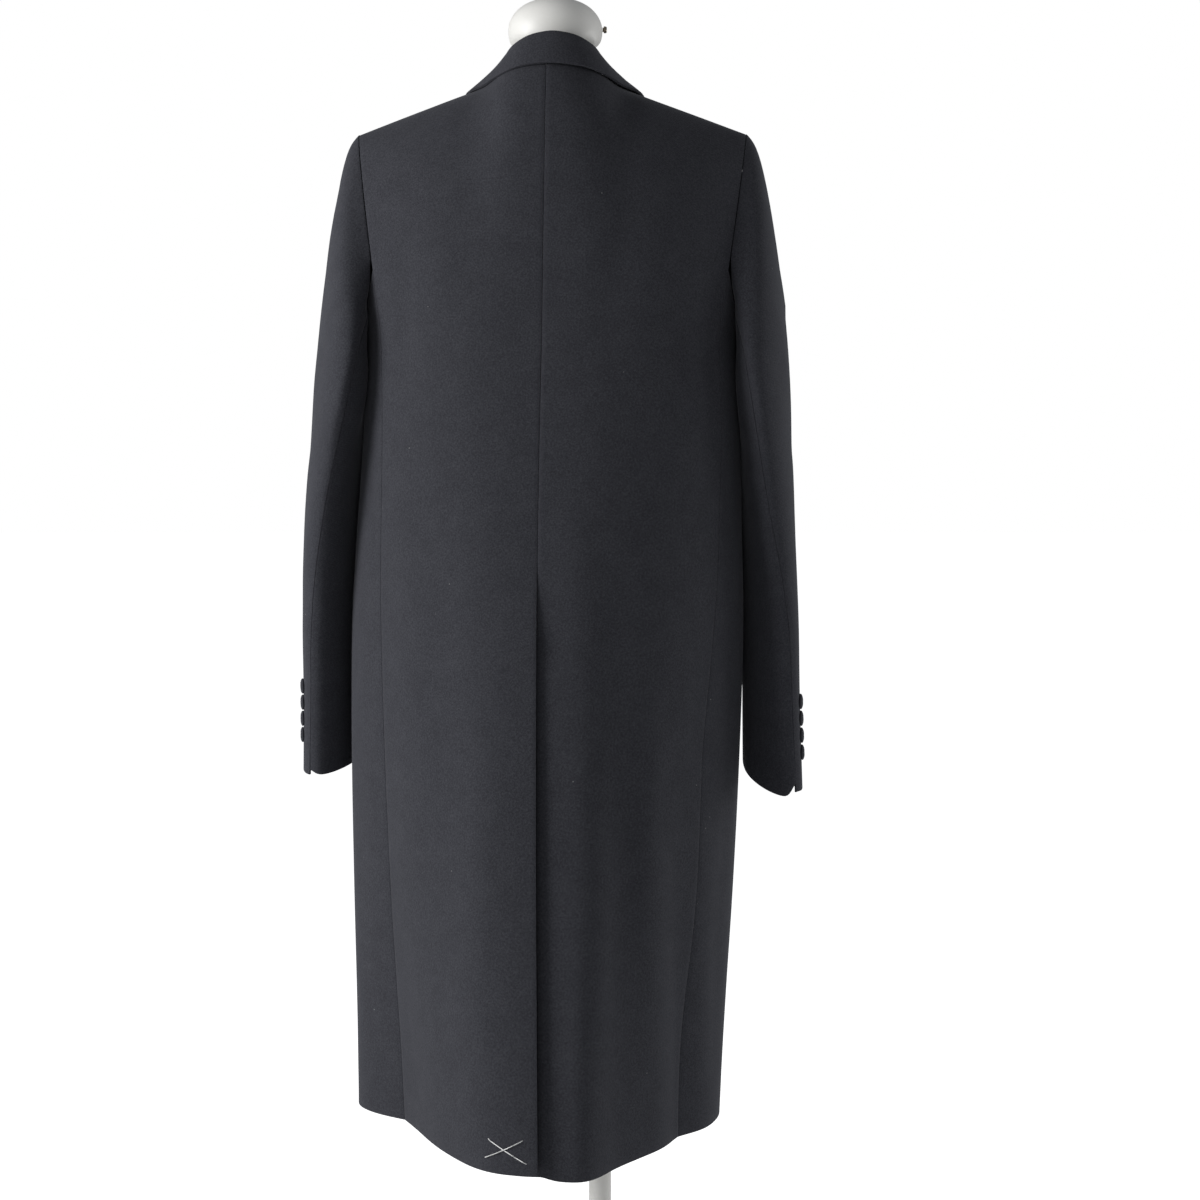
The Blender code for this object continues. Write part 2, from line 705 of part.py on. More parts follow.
def collar_profile(share):
    # The collar's cut at a station: up the stand, over the fold and down the fall.
    seam, fold, edge = (collar_station(share, name) for name in ("seam", "fold", "edge"))
    out = unit(np.array((edge[0] - seam[0], edge[1] - seam[1], 0.0)))
    points = [seam, lerp(seam, fold, 0.55) - out * 0.0005]
    room = max(fold[2] - seam[2], 0.006)
    radius = min(fold_radius, room * 0.45)
    top = fold - np.array((0.0, 0.0, radius))
    for turn in (180.0, 120.0, 60.0, 15.0):
        angle = math.radians(turn)
        rise = np.array((0.0, 0.0, radius * math.sin(angle)))
        points.append(top + out * radius * (1.0 + math.cos(angle)) + rise)
    last = points[-1]
    points.append(lerp(last, edge, 0.35) + out * 0.0012)
    points.append(lerp(last, edge, 0.70) + out * 0.0010)
    points.append(edge)
    return np.array(points)


def make_collar(material):
    stations = 25
    outer = np.array([collar_profile(-1.0 + 2.0 * k / (stations - 1)) for k in range(stations)])
    rows, columns = outer.shape[:2]
    normals = np.zeros_like(outer)
    for j in range(rows):
        for i in range(columns):
            along = outer[j, min(i + 1, columns - 1)] - outer[j, max(i - 1, 0)]
            around = outer[min(j + 1, rows - 1), i] - outer[max(j - 1, 0), i]
            normals[j, i] = unit(np.cross(around, along))
    seam_to_middle = outer[rows // 2, 0] - np.array((neck_middle_x, 0.0, outer[rows // 2, 0][2]))
    if normals[rows // 2, 0] @ seam_to_middle > 0:
        normals = -normals
    cloth_wall("collar", outer, normals, material, collar_wall)


def make_form(body_material, metal):
    rings = []
    for z, half_width, half_depth, y in form_rows:
        rings.append(oval_ring(form_x, form_y + y, z, half_width, half_depth, form_sides, 2.3))
    slope = (neck_point[1][2] - shoulder_point[1][2]) / (shoulder_point[1][0] - neck_point[1][0])
    drop = wall / math.cos(math.atan(slope)) + form_clearance
    for z, half_depth, y in form_shoulder_rows:
        half_width = neck_reach + (neck_point[1][2] - drop - z) / slope
        rings.append(oval_ring(form_x, form_y + y, z, min(half_width, 0.1835), half_depth, form_sides, 2.0))
    for z, half_width, half_depth, y in form_neck_rows:
        rings.append(oval_ring(stem_x, form_y + y, z, half_width, half_depth, form_sides))
    stack_of_rings("form_torso", rings, body_material)
    rings = [oval_ring(neck_x, form_y + 0.006, z, half_width, half_depth, form_sides)
             for z, half_width, half_depth in cap_rows]
    stack_of_rings("form_neck_cap", rings, body_material)
    rings = []
    for x, radius in knob_profile:
        turns = [2 * math.pi * k / knob_sides for k in range(knob_sides)]
        rings.append([(x, form_y + 0.006 + radius * math.cos(turn), knob_z + radius * math.sin(turn))
                      for turn in turns])
    stack_of_rings("neck_knob", rings, metal)


def turned(name, profile, count, material):
    rings = [oval_ring(0.0, 0.0, z, radius, radius, count) for radius, z in profile]
    return stack_of_rings(name, rings, material)


def make_stand(pole_material, metal):
    turned("pole", ((pole_radius, plate_thickness + rest_gap), (pole_radius, pole_top)), 20, pole_material)
    turned("foot_plate", ((plate_radius, 0.0), (plate_radius, plate_thickness - plate_edge),
                          (plate_radius - plate_edge, plate_thickness)), 40, metal)


def clear_scene():
    for thing in list(bpy.data.objects):
        bpy.data.objects.remove(thing, do_unlink=True)


def make_material(name, color, roughness, metallic=0.0):
    material = bpy.data.materials.new(name)
    material.use_nodes = True
    shader = material.node_tree.nodes["Principled BSDF"]
    shader.inputs["Base Color"].default_value = (*color, 1.0)
    shader.inputs["Roughness"].default_value = roughness
    shader.inputs["Metallic"].default_value = metallic
    return material


def main():
    clear_scene()
    wool = make_material("wool", (0.022, 0.024, 0.030), 0.85)
    covered = make_material("covered_button", (0.016, 0.017, 0.021), 0.7)
    shell = make_material("form_shell", (0.86, 0.84, 0.78), 0.45)
    paint = make_material("stand_paint", (0.85, 0.84, 0.80), 0.40)
    metal = make_material("knob_metal", (0.35, 0.30, 0.24), 0.30, 1.0)
    for side, word in ((1, "left"), (-1, "right")):
        for kind, (points, normals) in body_grids(side).items():
            cloth_wall(f"{kind}_{word}", points, normals, wool)
        make_lapel(side, wool)
        make_sleeve(side, wool)
        make_cuff_buttons(side, covered)
        make_flap(side, wool)
    make_underlap(wool)
    make_collar(wool)
    make_front_buttons(covered)
    make_form(shell, metal)
    make_stand(paint, paint)


main()
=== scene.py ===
import math

import bmesh
import bpy
import numpy as np
from mathutils import Matrix, Vector


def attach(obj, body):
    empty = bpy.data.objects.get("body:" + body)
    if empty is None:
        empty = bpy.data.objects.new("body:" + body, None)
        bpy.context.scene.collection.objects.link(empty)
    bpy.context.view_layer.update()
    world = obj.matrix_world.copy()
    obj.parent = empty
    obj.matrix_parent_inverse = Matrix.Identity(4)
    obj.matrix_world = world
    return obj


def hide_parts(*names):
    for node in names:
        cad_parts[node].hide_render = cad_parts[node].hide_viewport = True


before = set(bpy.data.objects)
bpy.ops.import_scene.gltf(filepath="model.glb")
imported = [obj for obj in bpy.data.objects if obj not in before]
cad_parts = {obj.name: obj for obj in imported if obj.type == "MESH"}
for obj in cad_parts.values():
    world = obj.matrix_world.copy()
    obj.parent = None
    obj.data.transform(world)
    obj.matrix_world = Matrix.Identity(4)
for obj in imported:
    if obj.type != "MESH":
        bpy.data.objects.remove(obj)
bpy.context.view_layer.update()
print("frame loaded")


def smoothStep(low, high, value):
    share = np.clip((value - low) / (high - low), 0.0, 1.0)
    return share * share * (3.0 - 2.0 * share)


def newPiece(name, shape, material, smooth=True):
    mesh = bpy.data.meshes.new(name)
    shape.to_mesh(mesh)
    shape.free()
    if smooth:
        mesh.shade_smooth()
    piece = bpy.data.objects.new(name, mesh)
    bpy.context.scene.collection.objects.link(piece)
    mesh.materials.append(material)
    return piece


def nodeShape(nodeName):  # a CAD node's faces, merged and with their quads back
    shape = bmesh.new()
    shape.from_mesh(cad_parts[nodeName].data)
    shape.transform(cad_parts[nodeName].matrix_world)
    bmesh.ops.remove_doubles(shape, verts=shape.verts, dist=0.00001)
    bmesh.ops.join_triangles(shape, faces=shape.faces, cmp_seam=False, cmp_sharp=False, cmp_uvs=False,
                             cmp_vcols=False, cmp_materials=False, angle_face_threshold=math.radians(60),
                             angle_shape_threshold=math.radians(75))
    return shape


def refine(shape, levels, rimAngle=55.0, rounds=3):  # smooth subdivision through the same points, rims held
    crease = shape.edges.layers.float.new("crease_edge")
    for edge in shape.edges:
        if len(edge.link_faces) == 2 and edge.calc_face_angle(0.0) > math.radians(rimAngle):
            edge[crease] = 1.0
    mesh = bpy.data.meshes.new("refining")
    shape.to_mesh(mesh)
    shape.free()
    helper = bpy.data.objects.new("refining", mesh)
    bpy.context.scene.collection.objects.link(helper)
    modifier = helper.modifiers.new("finer", "SUBSURF")
    modifier.levels = modifier.render_levels = levels
    wanted = np.array([vertex.co for vertex in mesh.vertices])
    guide = wanted.copy()
    for _ in range(rounds):  # each round moves the guide points by what the smoothing took away
        evaluated = helper.evaluated_get(bpy.context.evaluated_depsgraph_get())
        smoothed = np.array([vertex.co for vertex in evaluated.to_mesh().vertices[:len(wanted)]])
        guide += wanted - smoothed
        mesh.vertices.foreach_set("co", guide.ravel())
        mesh.update()
    evaluated = helper.evaluated_get(bpy.context.evaluated_depsgraph_get())
    finer = bmesh.new()
    finer.from_mesh(evaluated.to_mesh())
    bpy.data.objects.remove(helper)
    return finer


def softBevel(piece, width, segments=2, angle=40.0):
    modifier = piece.modifiers.new("softEdge", "BEVEL")
    modifier.width = width
    modifier.segments = segments
    modifier.limit_method = "ANGLE"
    modifier.angle_limit = math.radians(angle)
    modifier.harden_normals = False


def startGroup(name, inputs, outputs):
    group = bpy.data.node_groups.new(name, "ShaderNodeTree")
    for label, value in inputs:
        socket = group.interface.new_socket(name=label, in_out="INPUT", socket_type="NodeSocketFloat")
        socket.default_value = value
    for label in outputs:
        group.interface.new_socket(name=label, in_out="OUTPUT", socket_type="NodeSocketFloat")
    return group, group.nodes.new("NodeGroupInput"), group.nodes.new("NodeGroupOutput")


def addNode(tree, kind, **settings):
    node = tree.nodes.new(kind)
    for key, value in settings.items():
        setattr(node, key, value)
    return node


def mathNode(tree, operation, first, second=None, clamp=False):
    node = addNode(tree, "ShaderNodeMath", operation=operation, use_clamp=clamp)
    for index, value in enumerate((first, second)):
        if isinstance(value, (int, float)):
            node.inputs[index].default_value = value
        elif value is not None:
            tree.links.new(value, node.inputs[index])
    return node.outputs[0]


def noiseNode(tree, vector, scale, detail=2.0, roughness=0.5):
    node = addNode(tree, "ShaderNodeTexNoise")
    node.inputs["Scale"].default_value = scale
    node.inputs["Detail"].default_value = detail
    node.inputs["Roughness"].default_value = roughness
    tree.links.new(vector, node.inputs["Vector"])
    return node.outputs["Fac"]


nap = {
    "fibreScale": 620.0,
    "fibreShare": 1.6,
    "twillScale": 390.0,
    "twillAmount": 0.25,
    "twillWaver": 0.6,
    "cloudScale": 46.0,
    "cloudShare": 0.35,
    "lintScale": 55.0,
    "lintSize": 0.030,
    "lintPatches": 23.0,
    "lintRarity": 0.60,
}


def makeNapGroup():  # brushed fibres and lint over a fine twill
    group, inputs, outputs = startGroup(
        "woolNap", (("Fibre Scale", nap["fibreScale"]), ("Twill Scale", nap["twillScale"]),
                    ("Twill Amount", nap["twillAmount"])), ("Tone", "Height", "Lint"))
    coords = addNode(group, "ShaderNodeTexCoord")
    fibre = addNode(group, "ShaderNodeTexNoise")
    fibre.inputs["Detail"].default_value = 3.0
    group.links.new(coords.outputs["Object"], fibre.inputs["Vector"])
    group.links.new(inputs.outputs["Fibre Scale"], fibre.inputs["Scale"])
    cloud = noiseNode(group, coords.outputs["Object"], nap["cloudScale"], 2.0)
    twill = addNode(group, "ShaderNodeTexWave", wave_type="BANDS", bands_direction="DIAGONAL")
    twill.inputs["Distortion"].default_value = nap["twillWaver"]
    group.links.new(coords.outputs["UV"], twill.inputs["Vector"])
    group.links.new(inputs.outputs["Twill Scale"], twill.inputs["Scale"])
    twillPart = mathNode(group, "MULTIPLY", mathNode(group, "SUBTRACT", twill.outputs["Fac"], 0.5),
                         inputs.outputs["Twill Amount"])
    fibrePart = mathNode(group, "SUBTRACT", fibre.outputs["Fac"], 0.5)
    height = mathNode(group, "ADD", mathNode(group, "ADD", fibrePart, twillPart), 0.5)
    cloudPart = mathNode(group, "MULTIPLY", mathNode(group, "SUBTRACT", cloud, 0.5), nap["cloudShare"])
    fibreTone = mathNode(group, "MULTIPLY", fibrePart, nap["fibreShare"])
    tone = mathNode(group, "ADD", cloudPart, mathNode(group, "ADD", fibreTone, twillPart))
    cells = addNode(group, "ShaderNodeTexVoronoi")
    cells.inputs["Scale"].default_value = nap["lintScale"]
    group.links.new(coords.outputs["Object"], cells.inputs["Vector"])
    speck = mathNode(group, "LESS_THAN", cells.outputs["Distance"], nap["lintSize"])
    patches = noiseNode(group, coords.outputs["Object"], nap["lintPatches"], 0.0)
    rare = mathNode(group, "GREATER_THAN", patches, nap["lintRarity"])
    group.links.new(mathNode(group, "ADD", tone, 0.5, clamp=True), outputs.inputs["Tone"])
    group.links.new(height, outputs.inputs["Height"])
    group.links.new(mathNode(group, "MULTIPLY", speck, rare), outputs.inputs["Lint"])
    return group


mottle = {"fineScale": 350.0, "broadScale": 9.0, "fineShare": 0.3, "broadShare": 0.7}


def makeMottleGroup():  # slow and fine unevenness of a painted or moulded skin
    group, inputs, outputs = startGroup(
        "skinMottle", (("Fine Scale", mottle["fineScale"]), ("Broad Scale", mottle["broadScale"])),
        ("Tone", "Height"))
    coords = addNode(group, "ShaderNodeTexCoord")
    parts = []
    for label in ("Fine Scale", "Broad Scale"):
        noise = addNode(group, "ShaderNodeTexNoise")
        noise.inputs["Detail"].default_value = 3.0
        group.links.new(coords.outputs["Object"], noise.inputs["Vector"])
        group.links.new(inputs.outputs[label], noise.inputs["Scale"])
        parts.append(noise.outputs["Fac"])
    group.links.new(parts[0], outputs.inputs["Height"])
    fine = mathNode(group, "MULTIPLY", parts[0], mottle["fineShare"])
    broad = mathNode(group, "MULTIPLY", parts[1], mottle["broadShare"])
    group.links.new(mathNode(group, "ADD", fine, broad), outputs.inputs["Tone"])
    return group


napGroup = makeNapGroup()
mottleGroup = makeMottleGroup()


def startMaterial(name, roughness, metallic=0.0):
    material = bpy.data.materials.new(name)
    material.use_nodes = True
    shader = material.node_tree.nodes["Principled BSDF"]
    shader.inputs["Roughness"].default_value = roughness
    shader.inputs["Metallic"].default_value = metallic
    return material, material.node_tree, shader


def useGroup(tree, group, values):
    node = tree.nodes.new("ShaderNodeGroup")
    node.node_tree = group
    for label, value in values.items():
        node.inputs[label].default_value = value
    return node


def colorRamp(tree, factor, stops):
    ramp = tree.nodes.new("ShaderNodeValToRGB")
    elements = ramp.color_ramp.elements
    elements[0].position, elements[0].color = stops[0][0], (*stops[0][1], 1.0)
    elements[1].position, elements[1].color = stops[-1][0], (*stops[-1][1], 1.0)
    for position, color in stops[1:-1]:
        elements.new(position).color = (*color, 1.0)
    tree.links.new(factor, ramp.inputs["Fac"])
    return ramp.outputs["Color"]


def bumpInto(tree, shader, height, strength, distance):
    bump = tree.nodes.new("ShaderNodeBump")
    bump.inputs["Strength"].default_value = strength
    bump.inputs["Distance"].default_value = distance
    tree.links.new(height, bump.inputs["Height"])
    tree.links.new(bump.outputs["Normal"], shader.inputs["Normal"])


wool = {
    "roughness": 0.92,
    "specular": 0.15,
    "dark": (0.029, 0.029, 0.035),
    "middle": (0.040, 0.041, 0.049),
    "light": (0.054, 0.055, 0.064),
    "lint": (0.20, 0.20, 0.20),
    "sheen": 0.12,
    "sheenRoughness": 0.40,
    "sheenTint": (0.80, 0.82, 0.90),
    "bump": 0.22,
    "napDepth": 0.0006,
}


def makeWool(name, shade=1.0, fibreScale=nap["fibreScale"], twill=nap["twillAmount"]):
    material, tree, shader = startMaterial(name, wool["roughness"])
    fibres = useGroup(tree, napGroup, {"Fibre Scale": fibreScale, "Twill Amount": twill})
    tones = [tuple(shade * channel for channel in wool[key]) for key in ("dark", "middle", "light")]
    color = colorRamp(tree, fibres.outputs["Tone"], ((0.15, tones[0]), (0.5, tones[1]), (0.85, tones[2])))
    mix = addNode(tree, "ShaderNodeMix", data_type="RGBA")
    tree.links.new(fibres.outputs["Lint"], mix.inputs["Factor"])
    tree.links.new(color, mix.inputs["A"])
    mix.inputs["B"].default_value = (*wool["lint"], 1.0)
    tree.links.new(mix.outputs["Result"], shader.inputs["Base Color"])
    shader.inputs["Specular IOR Level"].default_value = wool["specular"]
    shader.inputs["Sheen Weight"].default_value = wool["sheen"]
    shader.inputs["Sheen Roughness"].default_value = wool["sheenRoughness"]
    shader.inputs["Sheen Tint"].default_value = (*wool["sheenTint"], 1.0)
    bumpInto(tree, shader, fibres.outputs["Height"], wool["bump"], wool["napDepth"])
    return material


def makeSkin(name, low, high, roughness, bump=0.05, metallic=0.0, coat=0.0):
    material, tree, shader = startMaterial(name, roughness, metallic)
    skin = useGroup(tree, mottleGroup, {})
    color = colorRamp(tree, skin.outputs["Tone"], ((0.3, low), (0.7, high)))
    tree.links.new(color, shader.inputs["Base Color"])
    shader.inputs["Coat Weight"].default_value = coat
    bumpInto(tree, shader, skin.outputs["Height"], bump, 0.0004)
    return material


woolCloth = makeWool("woolCloth")
buttonCloth = makeWool("buttonCloth", shade=0.95, fibreScale=1500.0, twill=0.45)
formSkin = makeSkin("formSkin", (0.86, 0.85, 0.81), (0.92, 0.91, 0.88), 0.42, 0.04)
standPaint = makeSkin("standPaint", (0.80, 0.79, 0.75), (0.86, 0.85, 0.82), 0.34, 0.06, coat=0.2)
knobMetal = makeSkin("knobMetal", (0.20, 0.17, 0.13), (0.36, 0.31, 0.24), 0.28, 0.08, metallic=1.0)
tackThread = makeSkin("tackThread", (0.80, 0.80, 0.79), (0.90, 0.90, 0.89), 0.75, 0.5)
print("materials made")


form = {
    # node: piece, times refined, rim angle, material, slot
    "form_torso": ("formTorso", 1, 55.0, formSkin, "form_shell"),
    "form_neck_cap": ("formNeckCap", 2, 70.0, formSkin, "form_shell"),
    "neck_knob": ("neckKnob", 2, 80.0, knobMetal, "knob_metal"),
}

for node, (name, finer, rimAngle, material, slotName) in form.items():
    piece = newPiece(name, refine(nodeShape(node), finer, rimAngle), material)
    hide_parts(node)
    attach(piece, "root")

stand = {
    "sides": 96,
    "poleRadius": 0.0115,
    "weldReach": 0.0030,  # the small fillet where the pole meets the plate
    "poleFoot": 0.0143,
    "poleTop": 0.7997,
    "poleRound": 0.0010,
    "plateRadius": 0.175,
    "plateThickness": 0.014,
    "plateRound": 0.004,
    "plateFoot": 0.001,
}


def spinProfile(name, profile, material):  # a profile of (radius, height) turned about the upright axis
    shape = bmesh.new()
    verts = [shape.verts.new((radius, 0.0, z)) for radius, z in profile]
    edges = [shape.edges.new(pair) for pair in zip(verts, verts[1:])]
    bmesh.ops.spin(shape, geom=verts + edges, cent=(0, 0, 0), axis=(0, 0, 1), dvec=(0, 0, 0),
                   angle=math.tau, steps=stand["sides"], use_merge=True, use_duplicate=False)
    bmesh.ops.remove_doubles(shape, verts=shape.verts, dist=0.00001)
    bmesh.ops.holes_fill(shape, edges=[e for e in shape.edges if e.is_boundary], sides=0)
    bmesh.ops.recalc_face_normals(shape, faces=shape.faces)
    piece = newPiece(name, shape, material)
    piece.data.set_sharp_from_angle(angle=math.radians(40))
    return piece


def roundCorner(radius, z, reach, steps):
    return [(radius - reach + reach * math.cos(turn), z - reach + reach * math.sin(turn))
            for turn in [math.pi / 2 * k / steps for k in range(steps + 1)]]


def makePole():
    radius, foot, top, weld = (stand[key] for key in ("poleRadius", "poleFoot", "poleTop", "weldReach"))
    fillet = [(radius + weld - weld * math.sin(turn), foot + weld - weld * math.cos(turn))
              for turn in [math.pi / 2 * k / 6 for k in range(7)]]
    return spinProfile("standPole", fillet + roundCorner(radius, top, stand["poleRound"], 4), standPaint)


def makePlate():
    radius, top, foot = stand["plateRadius"], stand["plateThickness"], stand["plateFoot"]
    profile = [(radius - foot, 0.0), (radius, foot)] + roundCorner(radius, top, stand["plateRound"], 8)
    return spinProfile("standPlate", profile, standPaint)


for piece, node in ((makePole(), "pole"), (makePlate(), "foot_plate")):
    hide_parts(node)
    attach(piece, "root")
print("form and stand made")


coat = {
    "finer": 2,
    "middle": (0.055, 0.0),
    "weaveGirth": 0.150,
    "sleeveWeaveGirth": 0.050,
    "outwardRise": 0.02,
    # the underlap lies behind both sides of the vent, the right lapel stands a little off its front
    "tucks": {"vent_underlap": (-0.0036, -0.0028, -0.0105), "lapel_right": (0.0, -0.0010, 0.0)},
    # node: what it hangs from, flat width, flat length, flat area, how far its edges are rounded
    "panels": {
        "back_left": ("formTorso", 0.235, 1.105, 0.2156, 0.0003),
        "back_right": ("formTorso", 0.240, 1.122, 0.2198, 0.0003),
        "vent_underlap": ("clothBackRight", 0.041, 0.515, 0.0206, 0.0003),
        "side_left": ("clothBackLeft", 0.150, 0.884, 0.1170, 0.0003),
        "side_right": ("clothBackRight", 0.165, 0.892, 0.1244, 0.0003),
        "front_left": ("formTorso", 0.300, 1.110, 0.2522, 0.0003),
        "front_right": ("formTorso", 0.300, 1.120, 0.2525, 0.0003),
        "lapel_left": ("clothFrontLeft", 0.090, 0.395, 0.0220, 0.0006),
        "lapel_right": ("clothFrontRight", 0.090, 0.310, 0.0191, 0.0006),
        "pocket_flap_left": ("clothFrontLeft", 0.162, 0.060, 0.0092, 0.0006),
        "pocket_flap_right": ("clothFrontRight", 0.158, 0.060, 0.0090, 0.0006),
        "collar": ("clothBackLeft", 0.330, 0.095, 0.0208, 0.0005),
        "sleeve_top_left": ("clothBackLeft", 0.165, 0.695, 0.0965, 0.0003),
        "sleeve_under_left": ("clothSideLeft", 0.155, 0.585, 0.0762, 0.0003),
        "sleeve_top_right": ("clothBackRight", 0.165, 0.702, 0.0978, 0.0003),
        "sleeve_under_right": ("clothSideRight", 0.155, 0.590, 0.0770, 0.0003),
    },
}

# Soft troughs and ridges in the coat's own metres: the face, where each starts and ends as
# (across, height), its half width, and how far it stands out (a trough is below zero).
bodyCreases = (
    ("back", (0.198, 1.06), (0.186, 0.50), 0.020, 0.0022),
    ("back", (0.158, 1.00), (0.150, 0.58), 0.026, -0.0020),
    ("back", (0.110, 0.80), (0.118, 0.44), 0.018, 0.0016),
    ("back", (0.024, 0.98), (0.022, 0.20), 0.020, 0.0026),
    ("back", (-0.018, 0.94), (-0.022, 0.18), 0.020, -0.0042),
    ("back", (-0.050, 0.80), (-0.055, 0.20), 0.015, 0.0038),
    ("back", (-0.078, 0.66), (-0.082, 0.20), 0.012, -0.0032),
    ("back", (-0.100, 0.72), (-0.106, 0.20), 0.014, 0.0028),
    ("back", (-0.040, 1.30), (0.006, 1.16), 0.022, -0.0018),
    ("back", (-0.030, 1.20), (-0.034, 0.98), 0.030, -0.0020),
    ("back", (-0.090, 1.16), (-0.078, 1.00), 0.020, 0.0018),
    ("back", (0.190, 1.26), (0.200, 1.12), 0.014, -0.0014),
    ("back", (0.150, 1.30), (0.176, 1.20), 0.022, 0.0012),
    ("front", (0.200, 1.20), (0.150, 1.08), 0.018, -0.0014),
    ("front", (-0.085, 1.20), (-0.040, 1.07), 0.018, -0.0012),
    ("front", (0.072, 0.985), (0.165, 1.03), 0.012, -0.0013),
    ("front", (0.076, 0.965), (0.150, 0.90), 0.012, 0.0005),
    ("front", (0.020, 0.985), (-0.060, 1.02), 0.012, -0.0012),
    ("front", (0.022, 0.960), (-0.055, 0.90), 0.014, 0.0005),
    ("front", (0.150, 0.72), (0.160, 0.42), 0.022, 0.0026),
    ("front", (0.200, 0.70), (0.205, 0.40), 0.018, -0.0022),
    ("front", (-0.040, 0.72), (-0.046, 0.39), 0.022, 0.0024),
    ("front", (-0.092, 0.68), (-0.098, 0.38), 0.018, -0.0020),
    ("left", (-0.010, 0.90), (-0.014, 0.42), 0.022, 0.0020),
    ("left", (0.034, 0.80), (0.036, 0.42), 0.016, -0.0018),
    ("right", (-0.008, 0.90), (-0.010, 0.40), 0.022, 0.0020),
    ("right", (0.040, 0.82), (0.048, 0.41), 0.018, -0.0020),
)
lapCreases = {"back_right": (("back", (0.046, 0.84), (0.044, 0.16), 0.016, 0.0035),
                             ("back", (0.018, 1.439), (-0.046, 1.402), 0.008, 0.0022))}
sleeveCreases = {
    "left": (
        ("back", (0.268, 1.318), (0.240, 1.292), 0.010, -0.0012),
        ("back", (0.276, 1.290), (0.262, 1.210), 0.016, 0.0014),
        ("back", (0.300, 1.060), (0.285, 1.030), 0.010, -0.0010),
        ("back", (0.302, 0.900), (0.288, 0.860), 0.014, -0.0012),
        ("front", (0.262, 1.080), (0.296, 1.050), 0.010, -0.0022),
        ("front", (0.264, 1.045), (0.300, 1.030), 0.012, 0.0016),
        ("front", (0.268, 1.010), (0.298, 0.985), 0.009, -0.0018),
        ("front", (0.270, 0.930), (0.296, 0.900), 0.014, -0.0012),
        ("left", (-0.060, 1.100), (-0.010, 1.060), 0.012, -0.0014),
        ("left", (-0.070, 1.010), (-0.030, 0.990), 0.012, -0.0012),
        ("left", (0.030, 1.180), (0.000, 1.100), 0.018, 0.0014),
    ),
    "right": (
        ("back", (-0.168, 1.310), (-0.142, 1.286), 0.010, -0.0010),
        ("back", (-0.150, 1.012), (-0.160, 0.984), 0.007, -0.0016),
        ("back", (-0.176, 0.930), (-0.190, 0.890), 0.014, -0.0012),
        ("front", (-0.160, 1.075), (-0.192, 1.050), 0.010, -0.0020),
        ("front", (-0.162, 1.040), (-0.195, 1.020), 0.012, 0.0016),
        ("front", (-0.165, 1.000), (-0.192, 0.980), 0.009, -0.0016),
        ("front", (-0.168, 0.900), (-0.190, 0.870), 0.014, -0.0012),
        ("right", (-0.050, 1.090), (0.000, 1.050), 0.012, -0.0014),
        ("right", (-0.052, 1.000), (-0.014, 0.985), 0.012, -0.0012),
        ("right", (0.036, 1.190), (0.006, 1.110), 0.018, 0.0014),
    ),
}


creaseForm = {"faceReach": 0.012, "endShare": 0.07, "fadePower": 0.6}


def creaseShift(points, middle, creases):  # how far each point stands out over the plain form
    away = {"back": points[:, 1] - middle[:, 1], "front": middle[:, 1] - points[:, 1],
            "left": points[:, 0] - middle[:, 0], "right": middle[:, 0] - points[:, 0]}
    total = np.zeros(len(points))
    for face, start, end, width, depth in creases:
        flat = points[:, (0, 2)] if face in ("back", "front") else points[:, 1:3]
        start, end = np.array(start), np.array(end)
        run = end - start
        share = np.clip((flat - start) @ run / (run @ run), 0.0, 1.0)
        reach = np.linalg.norm(flat - start - share[:, None] * run, axis=1)
        along = share * (1.0 - 2.0 * creaseForm["endShare"]) + creaseForm["endShare"]
        fade = np.sin(np.pi * along) ** creaseForm["fadePower"]
        onFace = smoothStep(0.0, creaseForm["faceReach"], away[face])
        total += depth * fade * onFace * np.exp(-(reach / width) ** 2)
    return total


# Where a sleeve's inner side rests on the body: depth, heights where it starts and ends, half width, how far.
sleevePresses = {
    "left": (-1.0, ((0.042, 1.090, 1.195, 0.014, 0.0042), (-0.028, 0.960, 1.140, 0.014, 0.0036))),
    "right": (1.0, ((0.042, 1.080, 1.195, 0.014, 0.0031), (-0.028, 1.040, 1.115, 0.014, 0.0044),
                    (-0.028, 0.920, 1.030, 0.014, 0.0028), (-0.045, 0.600, 0.815, 0.030, -0.0030))),
}
# Corners of the hems beside the vents: the place, how far each is drawn up, and the reach of that.
cornerLifts = {
    "back_right": (0.0585, 0.2090, 0.3676, 0.0050, 0.0140),
    "sleeve_under_left": (0.3026, -0.0040, 0.7154, 0.0055, 0.0075),
    "sleeve_under_right": (-0.2006, 0.0404, 0.7005, 0.0130, 0.0065),
    "sleeve_top_right": (-0.2006, 0.0404, 0.7005, 0.0040, 0.0120),
}
pressForm = {"faceReach": 0.012, "below": 0.03, "above": 0.01, "topFade": 0.012}
cornerFade = (0.012, 0.060)  # how far above a corner the lift starts to fade, and where it ends
armholeEase = {  # the front of the right armhole stands out past the back
    "side": "right",
    "shift": -0.0034,
    "bottom": (1.183, 1.203),
    "top": (1.345, 1.375),
    "across": (-0.085, -0.125),
    "depth": (-0.026, -0.042),
}


def pressSleeve(points, middle, word):
    toward, places = sleevePresses[word]
    inner = smoothStep(0.0, pressForm["faceReach"], toward * (points[:, 0] - middle[:, 0]))
    for depth, low, high, width, amount in places:
        fade = smoothStep(low - pressForm["below"], low + pressForm["above"], points[:, 2])
        fade *= 1.0 - smoothStep(high - pressForm["topFade"], high + pressForm["topFade"], points[:, 2])
        nearness = np.exp(-((points[:, 1] - depth) / width) ** 2)
        points[:, 0] += toward * amount * inner * fade * nearness


